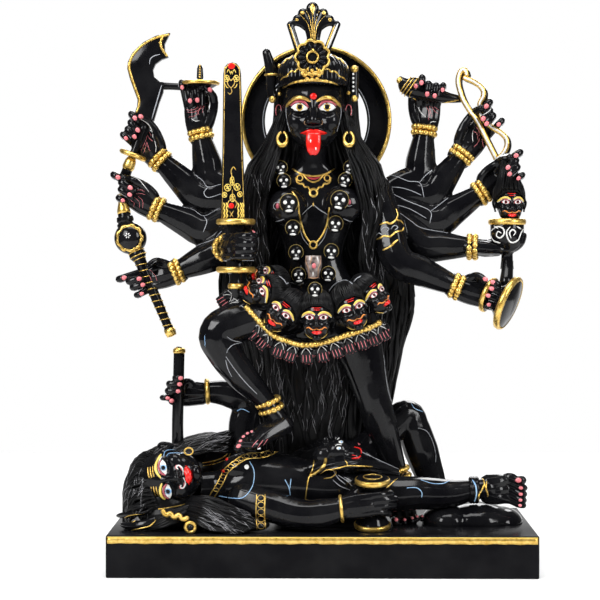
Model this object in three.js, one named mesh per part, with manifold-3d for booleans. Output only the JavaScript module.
// A ten-armed goddess who stands on a reclining god, carved with its plinth from one block of black marble.
import * as THREE from "three";
import { mergeVertices } from "three/addons/utils/BufferGeometryUtils.js";
import Module from "manifold-3d";

const wasm = await Module();
wasm.setup();

// Driving dimensions, in millimetres
const PLINTH_WIDTH = 450;
const PLINTH_DEPTH = 200;
const PLINTH_HEIGHT = 44.5;
const PLINTH_EDGE = 2; // bevel round the plinth's upper edge
const CARVING_HEIGHT = 565.5; // from the plinth's top to the tip of the crest
const SEAT = 1.5; // how far the carving runs into the plinth below it
const MOST_FACES = 9800;

// The carving is drawn at this height, with z = 0 on the plinth's top. Every length is a share of it.
const DRAWN_HEIGHT = 565.5;
const SHARE = CARVING_HEIGHT / DRAWN_HEIGHT;

const FRONT = new THREE.Vector3(0, -1, 0);
const BACK = new THREE.Vector3(0, 1, 0);
const UP = new THREE.Vector3(0, 0, 1);
const DOWN = new THREE.Vector3(0, 0, -1);
const RIGHT = new THREE.Vector3(1, 0, 0);
const LEFT = new THREE.Vector3(-1, 0, 0);
const at = (x, y, z) => new THREE.Vector3(x, y, z);

// A closed geometry as a solid. Geometry of the carving, drawn on its own height, is set on the plinth here.
function solidOf(geometry, drawn = true) {
  const g = geometry.index ? geometry.toNonIndexed() : geometry.clone();
  const bare = new THREE.BufferGeometry().setAttribute("position", g.getAttribute("position"));
  if (drawn) bare.scale(SHARE, SHARE, SHARE).translate(0, 0, PLINTH_HEIGHT);
  const merged = mergeVertices(bare, 1e-3);
  const triVerts = new Uint32Array(merged.index.array);
  const vertProperties = merged.attributes.position.array;
  const build = () => new wasm.Manifold(new wasm.Mesh({ numProp: 3, vertProperties, triVerts }));
  const made = build();
  if (made.volume() >= 0) return made;
  for (let i = 0; i < triVerts.length; i += 3) {
    [triVerts[i + 1], triVerts[i + 2]] = [triVerts[i + 2], triVerts[i + 1]];
  }
  return build();
}

// Sections are lists of [wide, thick] corners on a half-width of 1.
const round = (sides, flute = 0) => Array.from({ length: sides }, (_, i) => {
  const angle = ((i + 0.5) / sides) * 2 * Math.PI;
  const r = i % 2 === 1 ? 1 - flute : 1; // a flute draws every second corner in
  return [Math.cos(angle) * r, Math.sin(angle) * r];
});
// A row of fingers or toes side by side: rounded on one side, flat on the other
const row = (count, out) => {
  const corners = [[1, 0]];
  for (let i = 1; i < 2 * count; i++) corners.push([1 - i / count, i % 2 === 1 ? out : out * 0.45]);
  return [...corners, [-1, 0], [-0.8, -0.8 * out], [0.8, -0.8 * out]];
};

// Tapered tube through points. wide and thick are half-widths, one number or one for each point;
// wide is measured along the side direction, and tip is how far each end bulges, as a share of its thickness.
function limb(points, wide, thick, { sides = 8, side = RIGHT, tip = 0.35, section = round(sides) } = {}) {
  const last = points.length - 1;
  const pick = (v, i) => (Array.isArray(v) ? v[i] : v);
  const geometry = new THREE.CylinderGeometry(1, 1, last, section.length, last);
  const place = geometry.getAttribute("position");
  for (let k = 0; k < place.count; k++) {
    const i = Math.round(last / 2 - place.getY(k));
    const onRim = Math.hypot(place.getX(k), place.getZ(k)) > 0.5;
    const tangent = points[Math.min(i + 1, last)].clone().sub(points[Math.max(i - 1, 0)]).normalize();
    const s = side.clone().addScaledVector(tangent, -side.dot(tangent)).normalize();
    const t = tangent.clone().cross(s);
    const p = points[i].clone();
    if (onRim) {
      const turn = Math.round((Math.atan2(place.getX(k), place.getZ(k)) / (2 * Math.PI)) * section.length);
      const [u, v] = section[(turn + section.length) % section.length];
      p.addScaledVector(s, u * pick(wide, i)).addScaledVector(t, v * pick(thick, i));
    } else {
      p.addScaledVector(tangent, (i === 0 ? -tip : tip) * pick(thick, i));
    }
    place.setXYZ(k, p.x, p.y, p.z);
  }
  return solidOf(geometry);
}

// Ellipsoid. tilt turns it in the front view, anticlockwise, in degrees.
function ball(centre, rx, ry, rz, { across = 8, down = 6, tilt = 0 } = {}) {
  const geometry = new THREE.SphereGeometry(1, across, down).rotateX(Math.PI / 2).scale(rx, ry, rz);
  geometry.rotateY((-tilt * Math.PI) / 180).translate(centre.x, centre.y, centre.z);
  return solidOf(geometry);
}

// Plate cut to an outline in the front view, from its front face at y to its back face.
function plate(outline, y, thickness) {
  const shape = new THREE.Shape(outline.map(([x, z]) => new THREE.Vector2(x, z)));
  const geometry = new THREE.ExtrudeGeometry(shape,
    { depth: thickness, bevelEnabled: false, curveSegments: 1 });
  return solidOf(geometry.rotateX(Math.PI / 2).translate(0, y + thickness, 0));
}

// Turned shape: [radius, height] pairs that start and end on the axis, stood at centre along axis.
function turned(profile, centre, axis, sides = 10) {
  const geometry = new THREE.LatheGeometry(profile.map(([r, h]) => new THREE.Vector2(r, h)), sides);
  const spin = new THREE.Quaternion().setFromUnitVectors(at(0, 1, 0), axis.clone().normalize());
  return solidOf(geometry.applyQuaternion(spin).translate(centre.x, centre.y, centre.z));
}

// Ring round a limb, such as a bangle.
function ring(centre, axis, radius, wire, { sides = 9, round: corners = 4, squash = 1 } = {}) {
  const geometry = new THREE.TorusGeometry(radius, wire, corners, sides).scale(1, squash, 1);
  const spin = new THREE.Quaternion().setFromUnitVectors(UP, axis.clone().normalize());
  return solidOf(geometry.applyQuaternion(spin).translate(centre.x, centre.y, centre.z));
}

const between = (a, b, t) => a.clone().lerp(b, t);

// Hands, at full size. A bend lists [forward, towards the palm] steps of the fingers from their knuckles.
const PALM = { length: 28, width: 14, depth: 7.5 };
const FIST = [[14, 3], [19, 12], [6, 18]];
const CUPPED = [[10, 1], [19, 6], [24, 15]];

// A hand from its wrist: reach points to the knuckles, across to the thumb's side, and palm out of the palm.
function hand(wrist, reach, across, palm, { size = 1, bend = FIST, thumb = true } = {}) {
  const d = reach.clone().normalize();
  const n = palm.clone().addScaledVector(d, -palm.dot(d)).normalize();
  const a = across.clone().addScaledVector(d, -across.dot(d)).addScaledVector(n, -across.dot(n)).normalize();
  const spot = (f, s, p) =>
    wrist.clone().addScaledVector(d, f * size).addScaledVector(a, s * size).addScaledVector(n, p * size);
  const { length, width, depth } = PALM;
  const fingers = bend.map(([f, p]) => spot(length + f, 0, p));
  const path = [spot(-4, 0, 0), spot(length * 0.5, 0, 0), spot(length, 0, 0), ...fingers];
  const wide = [0.7, 1, 1, 0.97, 0.95, 0.85].map((w) => w * width * size);
  const thick = [1, 1, 0.85, 0.6, 0.55, 0.4].map((t) => t * depth * size);
  const outside = d.clone().cross(a).dot(n) > 0 ? -1 : 1;
  const parts = [limb(path, wide, thick, { side: a, section: row(4, outside) })];
  if (thumb) {
    const bent = [spot(5, 9, 2), spot(18, 16, 7), spot(26, 13, 13)];
    parts.push(limb(bent, 4.8 * size, 4.8 * size, { sides: 5, side: d }));
  }
  return parts;
}

// An arm from shoulder to elbow to wrist, with two bangles turned on its wrist
// flat: an arm is deeper than it is wide in the front view
const ARM = { upper: 18, joint: 19.5, cuff: 9.5, flat: 0.9 };
const BANGLES = [[7.5, 12], [3.5, 14.5], [0, 11.5], [-3.5, 14], [-7, 9.5]]; // [distance up the arm, radius]
function arm(shoulder, elbow, wrist, size = {}) {
  const { upper, joint, cuff, flat, bangles } = { ...ARM, bangles: true, ...size };
  const rows = [[shoulder, upper], [between(shoulder, elbow, 0.6), upper], [elbow, joint]];
  rows.push([between(elbow, wrist, 0.4), joint * 0.87]);
  const up = elbow.clone().sub(wrist).normalize();
  if (bangles) rows.push(...BANGLES.map(([along, r]) => [wrist.clone().addScaledVector(up, along), r]));
  else rows.push([wrist, cuff]);
  const wide = rows.map(([, r]) => r);
  return limb(rows.map(([p]) => p), wide.map((r) => r * flat), wide, { sides: 7, side: FRONT });
}

// The raised arms, in front view from the top: her right on the left of the view, then her left.
const RAISED = [
  { shoulder: at(-78, 28, 356), elbow: at(-124, 33, 376), wrist: at(-135, 34, 425),
    reach: at(-0.03, 0, 1), across: RIGHT },
  { shoulder: at(-78, 28, 350), elbow: at(-137, 29, 356), wrist: at(-180, 29, 397),
    reach: at(-0.72, 0, 0.69), across: at(0.4, 0, 0.9) },
  { shoulder: at(-80, 24, 338), elbow: at(-131, 22, 318), wrist: at(-175.5, 20, 339),
    reach: at(-0.85, 0, 0.5), across: at(0.25, 0, 0.95) },
  { shoulder: at(-82, 18, 326), elbow: at(-118, 12, 292), wrist: at(-160, 8, 273),
    reach: at(-0.94, 0, -0.35), across: at(-0.4, 0, 0.92) },
  { shoulder: at(72, 28, 360), elbow: at(107, 33, 378), wrist: at(113, 34, 429),
    reach: at(0.05, 0, 1), across: at(-0.95, 0, 0.3) },
  { shoulder: at(72, 28, 356), elbow: at(121, 29, 358), wrist: at(154, 29, 402),
    reach: at(0.62, 0, 0.79), across: at(-0.4, 0, 0.92) },
  { shoulder: at(74, 24, 346), elbow: at(127, 22, 328), wrist: at(175, 18, 360),
    reach: at(0.75, 0, 0.66), across: at(-0.2, 0, 0.98) },
  { shoulder: at(74, 18, 334), elbow: at(112, 12, 301), wrist: at(164, 6, 300),
    reach: at(1, 0, -0.1), across: BACK, palm: UP,
    bend: CUPPED, thumb: false },
];

function raisedArms() {
  return RAISED.flatMap(({ shoulder, elbow, wrist, reach, across, palm = FRONT, bend, thumb }) => [
    arm(shoulder, elbow, wrist),
    ...hand(wrist, reach, across, palm, { bend, thumb }),
  ]);
}

// The two arms in front: the one with the sword, and the one with the hand drum
const SWORD_WRIST = at(-103, -36, 299);
const DRUM_WRIST = at(145, -22, 257);
const DRUM_ELBOW = at(84, -16, 283);
function frontArms() {
  return [
    arm(at(-72, 6, 362), at(-100, 2, 305), SWORD_WRIST),
    ...hand(SWORD_WRIST, at(0.35, -0.93, 0.02), UP, RIGHT, { size: 1.12 }),
    arm(at(58, 6, 365), DRUM_ELBOW, DRUM_WRIST),
    ring(at(70, -3, 318), at(0.35, 0, -1), 15.5, 3.6, { sides: 10 }),
    ...hand(DRUM_WRIST, at(0.93, -0.15, -0.3), at(0.2, 0, 1), at(0, -1, 0.2)),
  ];
}

// Torso, neck and hips, as sections from the hips upwards
const TORSO = [ // [x, y, z, half width, half depth]
  [-5, 8, 205, 40, 24], [-6, 8, 238, 49, 28], [-8, 7, 266, 42, 24], [-9, 6, 290, 33, 20],
  [-9, 6, 318, 40, 23], [-9, 6, 343, 50, 26], [-9, 9, 366, 60, 22], [-9.5, 8, 381, 34, 16],
  [-9.5, 5, 391, 17, 15], [-9.5, 2, 412, 17, 15],
];
function torso() {
  const path = TORSO.map(([x, y, z]) => at(x, y, z));
  return [
    limb(path, TORSO.map((r) => r[3]), TORSO.map((r) => r[4]), { sides: 10 }),
    ball(at(-38, -15, 343), 22, 17, 20),
    ball(at(23, -15, 345), 22, 17, 20),
  ];
}

// Head: a plain oval face, nose, ears with hoops, and the tongue put out
const FACE = at(-9.5, -4, 441);
function head() {
  const [x, y, z] = FACE.toArray();
  return [
    ball(FACE, 31, 35, 44, { across: 12, down: 9 }),
    ball(at(x, y - 12, z - 24), 17, 18, 15),
    limb([at(x, y - 33, z + 14), at(x, y - 38, z + 1), at(x, y - 41, z - 6)], [3, 4.5, 7], [3, 4, 4],
      { sides: 5 }),
    limb([at(x, y - 31, z - 17), at(x, y - 38, z - 22), at(x, y - 38, z - 38), at(x, y - 35, z - 46)],
      [9, 9.5, 9, 5], [3.5, 3.2, 2.8, 2.4], { sides: 6 }),
    ...[-1, 1].flatMap((s) => [
      ball(at(x + s * 32, y + 1, z - 3), 4, 7, 12, { across: 5, down: 4 }),
      ring(at(x + s * 35, y - 6, z - 26), FRONT, 6, 2.4, { sides: 8 }),
    ]),
  ];
}

// Crown: a scalloped band, a rosette, and the crest of feathers with its two side bars
function crown() {
  const [x, y, z] = FACE.toArray();
  const petals = 9;
  const rosette = Array.from({ length: petals * 2 }, (_, i) => {
    const r = i % 2 === 1 ? 17.5 : 20;
    const t = (i / (petals * 2)) * 2 * Math.PI + Math.PI / 2;
    return [x + r * Math.cos(t), z + 66 + r * Math.sin(t)];
  });
  // [sideways, height, radius] of each lobe
  const feathers = [[-18, 108, 4.6], [-11, 115, 5], [0, 117, 7], [11, 115, 5], [18, 108, 4.6]];
  return [
    limb([at(x, y + 2, z + 24), at(x, y + 2, z + 36), at(x, y + 2, z + 54), at(x, y + 4, z + 66)],
      [33, 36, 36, 26], [35, 38, 36, 24], { sides: 12 }),
    plate(rosette, y - 41, 12),
    limb([at(x - 1, y - 12, z + 58), at(x - 1, y - 12, z + 78), at(x - 1, y - 8, z + 112)],
      [13, 8, 6], [10, 6, 4], { sides: 6 }),
    ...feathers.flatMap(([dx, dz, r]) => [
      ball(at(x - 1 + dx, y - 8, z + dz), r, 4, r * 1.05, { across: 6, down: 4 }),
      limb([at(x - 1 + dx * 0.2, y - 8, z + 96), at(x - 1 + dx, y - 8, z + dz)], 3, 3, { sides: 4 }),
    ]),
    ...[-1, 1].flatMap((s) => [
      limb([at(x - 1 + s * 12, y - 10, z + 72), at(x - 1 + s * 25, y - 9, z + 102)], 3.6, 3.6, { sides: 5 }),
      limb([at(x - 1 + s * 2, y - 8, z + 96), at(x - 1 + s * 25, y - 9, z + 102)], 3.4, 3.4, { sides: 5 }),
    ]),
    // Knots of hair beside the band: a tall horn on the left of the view and a short column on the right
    limb([at(x - 41, y - 2, z + 10), at(x - 42, y - 2, z + 40), at(x - 44, y - 2, z + 60),
      at(x - 49, y - 2, z + 73)],
      [6, 6, 5.5, 3], [6, 6, 5.5, 3], { sides: 6, tip: 1 }),
    limb([at(x + 43, y - 2, z + 10), at(x + 44, y - 2, z + 52)], 6, 6, { sides: 6, tip: 0.8 }),
    ball(at(x - 37, y - 2, z + 26), 9, 9, 22, { across: 6, down: 4 }),
    ball(at(x + 38, y - 2, z + 26), 9, 9, 22, { across: 6, down: 4 }),
  ];
}

// Halo: a dished ring behind the head
const HALO = { centre: at(-7, 44, 440), outer: 83, inner: 57, depth: 9, sides: 32 };
function halo() {
  const { centre, outer, inner, depth, sides } = HALO;
  const section = [[inner, 0], [inner + 3, -3], [outer - 2, -depth], [outer, 2], [inner, 4], [inner, 0]];
  const geometry = new THREE.LatheGeometry(section.map(([r, h]) => new THREE.Vector2(r, h)), sides);
  const neckBlock = limb([at(-11, 36, 372), at(-11, 32, 440), at(-11, 24, 480)], [44, 26, 20], [16, 16, 14]);
  return [solidOf(geometry.translate(centre.x, centre.y, centre.z)), neckBlock];
}

// Hair: a fluted mantle that falls behind the body to the plinth, and a lock over each shoulder
const HAIR_ROWS = [ // [left edge, right edge, front, back, height]
  [-52, 50, 24, 80, -1], [-62, 58, 24, 82, 40], [-75, 74, 20, 84, 100], [-88, 82, 18, 86, 150],
  [-102, 93, 17, 87, 190], [-117, 105, 16, 86, 232], [-117, 105, 14, 82, 266], [-106, 92, 10, 73, 312],
  [-95, 82, 6, 66, 348], [-82, 67, 2, 57, 376],
  [-58, 41, -6, 46, 404], [-52, 36, -18, 37, 450], [-30, 12, -14, 26, 496],
];
function hair() {
  const path = HAIR_ROWS.map(([l, r, f, b, z]) => at((l + r) / 2, (f + b) / 2, z));
  const wide = HAIR_ROWS.map(([l, r]) => (r - l) / 2);
  const deep = HAIR_ROWS.map(([, , f, b]) => (b - f) / 2);
  const lock = (s) => limb(
    [at(-9.5 + s * 33, -2, 452), at(-9.5 + s * 42, -4, 412), at(-9.5 + s * 58, -8, 374),
      at(-9.5 + s * 66, -8, 330), at(-9.5 + s * 60, -6, 290), at(-9.5 + s * 64, 0, 262)],
    [7, 12, 17, 15, 12, 6], [8, 11, 14, 13, 11, 6], { section: round(8, 0.18) });
  return [limb(path, wide, deep, { section: round(28, 0.15), tip: 0 }), lock(-1), lock(1)];
}

// Legs: her right foot is set on the god's chest, and her left leg comes down behind him to the plinth
function foot(heel, toes, { wide = 13, high = 11 } = {}) {
  const out = toes.clone().sub(heel);
  const side = out.clone().cross(UP).normalize();
  const spot = (t, up) => heel.clone().addScaledVector(out, t).add(at(0, 0, up));
  return limb([spot(0, 0), spot(0.45, 0), spot(0.9, -1), spot(1.2, -3)],
    [wide * 0.75, wide * 0.9, wide * 1.1, wide],
    [high, high * 0.85, high * 0.5, high * 0.35],
    { side, section: row(5, side.clone().cross(out).z > 0 ? -1 : 1) });
}

const RIGHT_ANKLE = at(-56, -38, 130);
const LEFT_ANKLE = at(81, 24, 54);
function legs() {
  return [
    limb([at(-26, -2, 236), at(-62, -30, 227), at(-99, -52, 217), at(-115, -58, 208)],
      [30, 27, 22, 13], [30, 27, 22, 14], { side: UP }),
    limb([at(-111, -56, 216), at(-102, -52, 192), at(-81, -44, 162), RIGHT_ANKLE, at(-46, -36, 112)],
      [17, 20, 17, 11, 11], [16, 19, 17, 11, 12]),
    foot(at(-44, -36, 108), at(-84, -62, 90)),
    ...[-4, 6].map((step) => ring(RIGHT_ANKLE.clone().add(at(-step * 0.35, 0, step)), at(-0.4, -0.1, 1),
      12.8, 3)),
    limb([at(27, 8, 236), at(38, 6, 196), at(51, 4, 150), at(62, 8, 112), at(75, 18, 72), at(83, 24, 28)],
      [31, 29, 22, 20, 13, 12], [28, 27, 22, 20, 13, 12]),
    ring(LEFT_ANKLE, at(0.25, 0.1, -1), 13.5, 3),
    foot(at(83, 20, 15), at(93, -24, 6), { wide: 14, high: 14 }),
  ];
}

// A garland bead: a small skull. A severed head: bigger, with hair swept up, a nose and a chin
const skull = (x, y, z, r) => ball(at(x, y, z), r, r, r * 1.12, { across: 6, down: 4 });
function severedHead(x, y, z, tilt, size = 1) {
  const lean = (tilt * Math.PI) / 180;
  const spot = (dx, dy, dz) => at(x + (dx * Math.cos(lean) - dz * Math.sin(lean)) * size, y + dy * size,
    z + (dx * Math.sin(lean) + dz * Math.cos(lean)) * size);
  return [
    ball(at(x, y, z), 15 * size, 14 * size, 19 * size, { across: 8, down: 6, tilt }),
    ball(spot(0, 5, 10), 17 * size, 13 * size, 16 * size, { across: 6, down: 4, tilt }),
    limb([spot(0, -13, 4), spot(0, -16.5, -3)], [1.6 * size, 3 * size], [1.6 * size, 2 * size], { sides: 4 }),
  ];
}

// The skull garland hangs from the shoulders in a narrow loop
const GARLAND = [ // [sideways, y, height, radius] on her left, mirrored on her right
  [37, -7, 385, 6.8], [33, -10, 371, 7.2], [27.5, -34, 347, 9.4],
  [23, -19, 320, 7.8], [19, -15, 294, 7.6], [15, -20, 270, 7.6],
];
function garland() {
  const middle = -9;
  return [
    skull(-8, -32, 254, 7.2),
    ...GARLAND.flatMap(([dx, y, z, r]) => [-1, 1].map((s) => skull(middle + s * dx, y, z, r))),
    limb([at(middle, -15, 298), at(middle, -19, 288), at(middle, -21, 268)], [4, 9, 6], [4, 6, 4],
      { sides: 6 }),
  ];
}

// The girdle: a row of severed heads, and a skirt of severed hands that hangs from a gold cord below them
const GIRDLE_HEADS = [ // [x, y, height, lean in degrees]
  [-65, -48, 249, -62], [-43, -54, 228, -38], [-6, -57, 222, 0], [31, -51, 231, 19], [53, -36, 243, 36],
];
const CORD = { from: -84, to: 66, middle: -2, low: 197, rise: 0.0062 };
const SKIRT = { hands: 15, length: 27, finger: 3.5, thick: 5, lean: 9 };
const cordAt = (t) => {
  const x = CORD.from + (CORD.to - CORD.from) * t;
  return at(x, -60 + 34 * Math.max(0, t - 0.55) ** 1.2, CORD.low + CORD.rise * (x - CORD.middle) ** 2);
};
function girdle() {
  const { hands, length, finger, thick, lean } = SKIRT;
  const steps = hands * 2 - 1;
  const spots = Array.from({ length: steps }, (_, i) => cordAt(i / (steps - 1)));
  const middles = spots.map((p, i) => p.clone().add(at((i / (steps - 1) - 0.5) * lean * 2, 0, -length / 2)));
  const heights = spots.map((_, i) => (length / 2 + (i % 2 === 0 ? finger : -finger)) * Math.SQRT2);
  return [
    ...GIRDLE_HEADS.flatMap(([x, y, z, tilt]) => severedHead(x, y, z, tilt, 1.1)),
    limb(middles, heights, heights.map((_, i) => thick * (i % 2 === 0 ? 1.8 : 1)), { sides: 4, side: UP }),
    limb(spots.filter((_, i) => i % 4 === 0).map((p) => p.clone().add(at(0, -4, 3))), 4.6, 3.6,
      { sides: 5, side: UP }),
    limb([at(-8, 6, 270), at(-8, -2, 246), at(-7, -12, 216), at(-6, -16, 180)],
      [42, 58, 68, 66], [24, 34, 44, 42], { sides: 10 }),
  ];
}

// What the hands hold
function sword() {
  const x = -94;
  const y = -55;
  const tip = 496;
  const guard = 326;
  const outline = [[x - 13, guard], [x + 13, guard]];
  for (let i = 0; i <= 8; i++) {
    const t = (i / 8) * Math.PI;
    outline.push([x - 1.6 + 8.7 * Math.cos(t), tip - 8.7 + 8.7 * Math.sin(t)]);
  }
  const grip = [
    [0, 0], [4, 0], [7, 14], [9, 19], [6.5, 24], [8, 30], [20.5, 32], [20.5, 38], [10, 40], [10, 78],
    [20.5, 80], [20.5, 86], [0, 87],
  ];
  return [plate(outline, y - 2.5, 5), turned(grip, at(x + 1, y, 243), UP, 8)];
}

// A billhook blade on a short grip, which stands on the mace below
function scythe() {
  const y = 25;
  const outline = [
    [-204, 408], [-187, 440], [-176, 472], [-176, 483], [-186, 489], [-188, 496], [-185, 503], [-170, 510.5],
    [-176, 523], [-168, 538], [-184, 535], [-198, 527.5], [-210, 516], [-216, 505], [-216.5, 496],
    [-213.5, 485], [-205, 463], [-205, 456], [-208, 449], [-213, 430],
  ];
  return [
    plate(outline, y - 5, 10),
    limb([at(-184, y + 2, 478), at(-156, y + 6, 477)], 3.4, 3.4, { sides: 6, side: UP }),
    turned([[0, -27], [6, -27], [5.5, -14], [4, -6], [14, -2.5], [15.5, 0], [13, 2.5], [5, 4], [5.5, 38],
      [0, 38]],
      at(-209, y - 4, 401), at(0.36, 0, 0.93), 9),
  ];
}

function disc() {
  const profile = [[0, -26], [6, -24], [6, -8], [15, -4], [21, -1], [21, 2], [15, 4], [3.4, 5], [3, 18],
    [0, 22]];
  return [turned(profile, at(-136.5, 28, 481), UP, 12)];
}

function mace() {
  const end = at(-165.6, 3, 205);
  const headCentre = at(-208.4, 10, 308);
  const axis = headCentre.clone().sub(end).normalize();
  return [
    turned([[0, -3], [5, -2], [5.6, 6], [4.6, 8], [5.8, 60], [6.8, 92], [0, 94]], end, axis, 7),
    ball(headCentre, 16.2, 15, 17, { across: 10, down: 7 }),
    turned([[0, -14], [8, -12], [9.5, 0], [8, 4], [7.5, 8], [4.5, 24], [4, 34], [0, 34]], at(-214.8, 14, 325),
      at(-0.18, 0.1, 1), 8),
  ];
}

// A horn held level, narrow end to the right
function horn() {
  return [
    limb([at(84, 22, 486), at(92, 22, 484), at(104, 22, 478), at(120, 22, 472), at(138, 22, 467),
      at(156, 24, 462)],
      [2.5, 10, 13, 10, 7.5, 4], [2.5, 10, 13, 10, 7.5, 4], { sides: 7, side: FRONT }),
    ball(at(84, 22, 484), 4.5, 4.5, 4.5, { across: 6, down: 5 }),
  ];
}

// A small bow: a straight string bar and a limb with two bends
function bow() {
  const y = 16;
  const bar = [at(152, y, 494), at(157, y, 460), at(176, y, 428), at(196, y, 398)];
  const stave = [
    at(154, y, 488), at(170, y, 482), at(177, y, 467), at(172, y, 452),
    at(184, y, 434), at(200, y, 424), at(205, y, 409), at(197, y, 396),
  ];
  return [
    limb(bar, 3, 3.4, { sides: 5, side: FRONT, tip: 1 }),
    limb(stave, 3, 3.2, { sides: 5, side: FRONT }),
    ball(at(155, y, 497), 5, 3.2, 4, { across: 6, down: 5 }),
  ];
}

// A severed head hung by its hair over a bowl on a short stem
function headAndBowl() {
  const x = 204;
  return [
    ...severedHead(x, 6, 346, 0, 0.92),
    limb([at(x - 3, 8, 352), at(x - 2, 6, 368), at(x - 8, 2, 388)], [14, 10, 6], [11, 9, 6],
      { section: round(8, 0.15) }),
    turned([[0, -40], [7, -40], [6, -28], [7, -22], [16, -14], [18.5, -2], [18, 8], [20, 9], [20, 14],
      [0, 15]],
      at(x - 1, 3, 316), UP, 10),
  ];
}

// A hand drum, its waist in the fist and its wide skin turned to the right of the view
function handDrum() {
  const centre = at(178.6, -20.6, 248.6);
  const profile = [[0, -2], [17, -2], [19, 0], [19, 3], [13, 8], [16, 13], [24, 19], [30, 23], [30, 26],
    [24, 29], [0, 31]];
  return [
    turned(profile, centre, at(0.86, -0.36, -0.37), 12),
    limb([at(199, -12, 262), at(200, -4, 284)], 6.5, 6.5, { sides: 6 }), // the bowl's stem stands on it
  ];
}

// The god lies on his back with his head to the left and his face turned out
const GOD_HEAD = at(-154, -42, 48);
function reclining() {
  const [x, y, z] = GOD_HEAD.toArray();
  return [
    // Head, features and hair
    ball(GOD_HEAD, 30, 27, 28, { across: 10, down: 7 }),
    limb([at(x - 6, y - 26, z), at(x + 5, y - 30, z), at(x + 9, y - 28, z)], [3, 5, 4], [3, 3.6, 2],
      { sides: 5, side: UP }),
    ball(at(x + 17, y - 23, z), 4, 4, 8, { across: 5, down: 4 }),
    limb([at(-206, -2, 6), at(-197, -12, 28), at(-178, -18, 48), at(-158, -8, 64), at(-132, 6, 72),
      at(-104, 12, 74)],
      [26, 34, 38, 36, 30, 20], [14, 24, 24, 20, 24, 26], { side: BACK, section: round(10, 0.1) }),
    limb([at(-198, -46, 10), at(-166, -66, 14), at(-116, -72, 18), at(-62, -82, 14)], [16, 20, 18, 10],
      [12, 17, 20, 12],
      { side: BACK, section: round(8, 0.12) }),
    ...crescentAndSnake(),
    // Trunk and loincloth
    limb([at(-126, -36, 42), at(-112, -34, 42), at(-98, -30, 44), at(-70, -26, 48), at(-30, -26, 46),
      at(0, -26, 42), at(26, -24, 42), at(48, -20, 36)],
      [18, 19, 34, 40, 34, 32, 33, 24], [18, 19, 26, 34, 30, 27, 28, 22], { side: BACK }),
    limb([at(-10, -30, 66), at(20, -34, 70), at(52, -22, 66), at(86, -10, 52)], [22, 26, 20, 6], [7, 8, 8, 4],
      { side: BACK, section: round(8, 0.1) }),
    // Near leg, straight, with its foot upright at the right of the plinth
    limb([at(20, -34, 36), at(60, -34, 34), at(100, -30, 34), at(132, -26, 33), at(166, -24, 38),
      at(184, -22, 40)],
      [24, 22, 17, 17, 11, 12], [22, 20, 16, 16, 11, 12], { side: BACK }),
    ring(at(164, -24, 38), RIGHT, 12.6, 3.4),
    limb([at(176, -22, 33), at(192, -22, 36), at(206, -24, 38), at(217, -26, 38)], [17, 18, 18, 17],
      [12, 11, 8, 4],
      { side: UP, section: row(5, -1) }),
    limb([at(120, -24, 12), at(164, -22, 8), at(196, -20, 6)], [20, 18, 12], [12, 9, 8],
      { sides: 6, side: BACK }),
    // Far leg, bent up behind her ankle
    limb([at(28, 22, 46), at(60, 34, 82), at(90, 44, 112), at(99, 46, 116)], [22, 20, 17, 10],
      [22, 20, 17, 10], { side: BACK }),
    limb([at(92, 44, 120), at(107, 48, 96), at(124, 50, 56), at(136, 50, 18)], [14, 18, 16, 12],
      [14, 18, 16, 12], { side: BACK }),
    limb([at(120, 52, 8), at(146, 50, 7), at(164, 48, 4)], [11, 12, 9], [9, 8, 5], { sides: 6, side: BACK }),
    // Near arm with its drum, far arm with the staff
    arm(at(-84, -60, 34), at(-32, -77, 20), at(24, -75, 26), { upper: 17, joint: 16 }),
    ring(at(-70, -64, 30), at(1, -0.25, -0.2), 16, 2.6),
    ...hand(at(27, -76, 26), at(1, 0.05, 0.12), UP, BACK, { size: 0.95 }),
    turned([[0, -28.5], [19, -28.5], [20, -21], [9, -6], [8.5, 6], [19, 20], [19, 28], [0, 28]],
      at(53, -64, 29.5), UP, 12),
    arm(at(-90, 10, 72), at(-88, 18, 130), at(-128, 10, 142),
      { upper: 16, joint: 15, cuff: 10, bangles: false }),
    ring(at(-126, 10, 142), RIGHT, 11.5, 2.8),
    ...hand(at(-132, 8, 141), LEFT, DOWN, FRONT, { size: 0.86 }),
    limb([at(-157, 0, 62), at(-158, -4, 96), at(-157, -6, 140), at(-155.5, -6, 186)], 6.5, 6.5, { sides: 6 }),
  ];
}

function crescentAndSnake() {
  return [
    limb([at(-210, -68, 8), at(-196, -76, 5), at(-178, -72, 8), at(-166, -66, 12)], [3, 7, 6, 2],
      [3, 5, 5, 2], { sides: 5, side: UP }),
    limb([at(-172, -66, 18), at(-158, -74, 16), at(-146, -82, 13), at(-139, -84, 9)], [5, 6, 5, 6],
      [4, 5, 5, 6], { sides: 6, side: UP }),
  ];
}

// The beast's head on the hide round the god's hips, and the snake at his waist
function hideHead() {
  return [
    limb([at(2, -36, 76), at(18, -42, 80), at(32, -48, 74), at(42, -50, 70)], [9, 11, 8, 5], [9, 11, 8, 5],
      { sides: 7, side: BACK }),
    ball(at(8, -36, 88), 3.5, 3, 5, { across: 5, down: 4 }),
    limb([at(-20, -30, 80), at(4, -42, 76), at(14, -52, 62), at(-2, -58, 48), at(-8, -60, 36)], 3.4, 3.4,
      { sides: 5, side: FRONT }),
  ];
}

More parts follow.
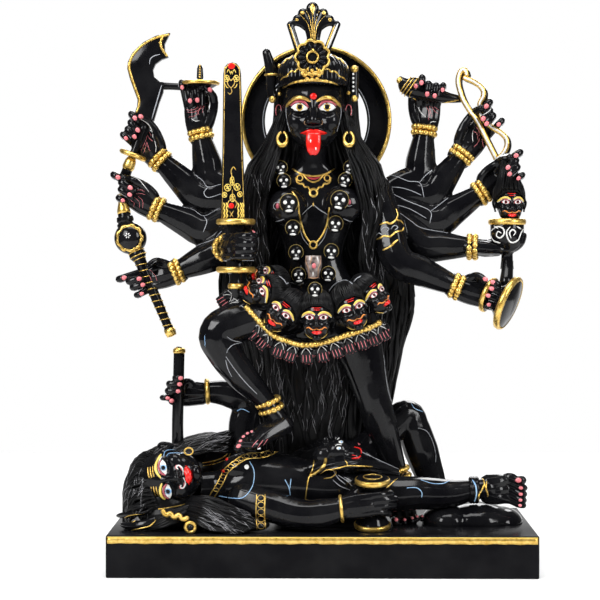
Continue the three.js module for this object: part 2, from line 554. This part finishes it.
function plinth() {
  const w = PLINTH_WIDTH / 2;
  const d = PLINTH_DEPTH / 2;
  const e = PLINTH_EDGE;
  const rows = [[0, 0], [0, PLINTH_HEIGHT - e], [e, PLINTH_HEIGHT]]; // [drawn in, height]
  const geometry = new THREE.BoxGeometry(2, 2, rows.length - 1, 1, 1, rows.length - 1);
  const place = geometry.getAttribute("position");
  for (let k = 0; k < place.count; k++) {
    const [inset, height] = rows[Math.round(place.getZ(k) + (rows.length - 1) / 2)];
    place.setXYZ(k, place.getX(k) * (w - inset), place.getY(k) * (d - inset), height);
  }
  return solidOf(geometry, false);
}

// Everything carved, joined to the plinth. It reaches below the plinth's top only by the seat.
function figure() {
  const carved = [
    ...torso(), ...head(), ...crown(), ...halo(), ...hair(), ...legs(), ...raisedArms(), ...frontArms(),
    ...garland(), ...girdle(), ...sword(), ...scythe(), ...disc(), ...mace(), ...horn(), ...bow(),
    ...headAndBowl(), ...handDrum(), ...reclining(), ...hideHead(),
  ];
  const above = new THREE.BoxGeometry(CARVING_HEIGHT, CARVING_HEIGHT, CARVING_HEIGHT + SEAT);
  const room = solidOf(above.translate(0, 0, PLINTH_HEIGHT - SEAT + (CARVING_HEIGHT + SEAT) / 2), false);
  return carved.reduce((whole, piece) => whole.add(piece)).intersect(room).add(plinth());
}

function geometryOf(solid) {
  const mesh = solid.getMesh();
  const points = new Float32Array(mesh.numVert * 3);
  for (let i = 0; i < mesh.numVert; i++) {
    points.set(mesh.vertProperties.subarray(i * mesh.numProp, i * mesh.numProp + 3), i * 3);
  }
  return new THREE.BufferGeometry()
    .setAttribute("position", new THREE.BufferAttribute(points, 3))
    .setIndex(new THREE.BufferAttribute(mesh.triVerts, 1));
}

// Joins leave slivers along every seam. This merges the two ends of an edge wherever that moves the surface
// least, until the solid has no more faces than wanted. It stays one closed body.
function thinned(geometry, wanted) {
  const place = geometry.getAttribute("position");
  const spots = Array.from({ length: place.count },
    (_, i) => new THREE.Vector3().fromBufferAttribute(place, i));
  const { array } = geometry.index;
  let faces = Array.from({ length: array.length / 3 },
    (_, i) => [array[i * 3], array[i * 3 + 1], array[i * 3 + 2]]);
  let count = Infinity;
  while (faces.length > wanted && faces.length < count) {
    count = faces.length;
    faces = mergeCheapest(spots, faces, Math.min((count - wanted) / 2, count / 20));
  }
  const used = [...new Set(faces.flat())];
  const order = new Map(used.map((v, i) => [v, i]));
  return new THREE.BufferGeometry()
    .setFromPoints(used.map((v) => spots[v]))
    .setIndex(faces.flat().map((v) => order.get(v)));
}

const SHORT_FIRST = 1e-3; // how much an edge's own length counts beside the volume that its loss moves
const CHEAP = 0.12; // the share of the edges that one round may take
function mergeCheapest(spots, faces, most) {
  const normal = ([a, b, c], from = spots) =>
    from[b].clone().sub(from[a]).cross(from[c].clone().sub(from[a]));
  const normals = faces.map((face) => normal(face));
  const around = spots.map(() => []);
  faces.forEach((face, f) => face.forEach((v) => around[v].push(f)));
  const neighbours = (v) => new Set(around[v].flatMap((f) => faces[f]).filter((w) => w !== v));

  const cost = (a, b, goal) => {
    let total = SHORT_FIRST * spots[a].distanceToSquared(spots[b]);
    for (const f of [...around[a], ...around[b]]) {
      const area = normals[f].length();
      if (area > 0) total += normals[f].dot(goal.clone().sub(spots[faces[f][0]])) ** 2 / area;
    }
    return total;
  };
  const keepsShape = (a, b, goal) => [...around[a], ...around[b]].every((f) => {
    if (faces[f].includes(a) && faces[f].includes(b)) return true;
    const moved = faces[f].map((v) => (v === a || v === b ? goal : spots[v]));
    const turned = normal([0, 1, 2], moved);
    const before = normals[f];
    return before.length() < 1e-3 || turned.dot(before) > 0.35 * turned.length() * before.length();
  });

  const edges = [];
  for (const face of faces) {
    face.forEach((a, i) => {
      const b = face[(i + 1) % 3];
      if (a > b) return;
      const places = [spots[a], spots[b], spots[a].clone().lerp(spots[b], 0.5)];
      const goals = places.map((goal) => ({ goal, cost: cost(a, b, goal) }));
      edges.push({ a, b, ...goals.sort((p, q) => p.cost - q.cost)[0] });
    });
  }
  edges.sort((p, q) => p.cost - q.cost);

  const busy = new Set();
  const gone = new Set();
  for (const { a, b, goal } of edges.slice(0, edges.length * CHEAP)) {
    if (gone.size >= most * 2) break;
    const [nearA, nearB] = [neighbours(a), neighbours(b)];
    if ([a, b, ...nearA, ...nearB].some((v) => busy.has(v))) continue;
    if ([...nearA].filter((v) => nearB.has(v)).length !== 2 || !keepsShape(a, b, goal)) continue;
    [a, b, ...nearA, ...nearB].forEach((v) => busy.add(v));
    around[b].forEach((f) => {
      if (faces[f].includes(a)) gone.add(f);
      else faces[f] = faces[f].map((v) => (v === b ? a : v));
    });
    spots[a] = goal.clone();
  }
  return faces.filter((_, f) => !gone.has(f));
}

const blackMarble = new THREE.MeshStandardMaterial({ color: 0x0b0b0d, roughness: 0.12, metalness: 0 });
const carving = new THREE.Mesh(thinned(geometryOf(figure()), MOST_FACES), blackMarble);
carving.name = "kali_figure";

const statue = new THREE.Group();
statue.add(carving);

export default statue;
